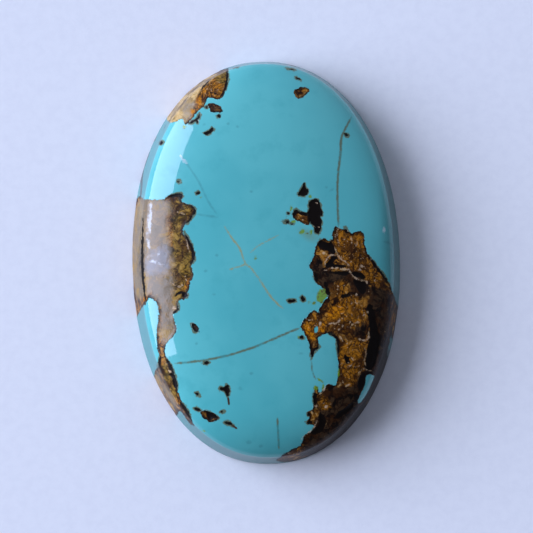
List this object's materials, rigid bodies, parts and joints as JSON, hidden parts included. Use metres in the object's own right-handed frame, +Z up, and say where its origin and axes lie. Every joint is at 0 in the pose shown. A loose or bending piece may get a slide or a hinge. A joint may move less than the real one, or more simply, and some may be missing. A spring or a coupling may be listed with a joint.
{
  "type": "turquoise cabochon",
  "caption": "Loose polished oval turquoise cabochon with brown limonite matrix: a low dome over a leaning side wall and a flat back, for setting or display.",
  "frame": {"origin": "middle of the flat back, on the surface that the stone rests on", "axes": "+Z up through the crown of the dome, +Y along the stone's long axis, +X across it"},
  "size_m": [0.02, 0.03, 0.0053],
  "materials": {
    "turquoise": "polished greenish-blue turquoise with brown, ochre and black limonite matrix patches and fine tan veins; sawn matt back"
  },
  "bodies": {
    "root": {"turquoise_stone": "turquoise"}
  },
  "joints": []
}
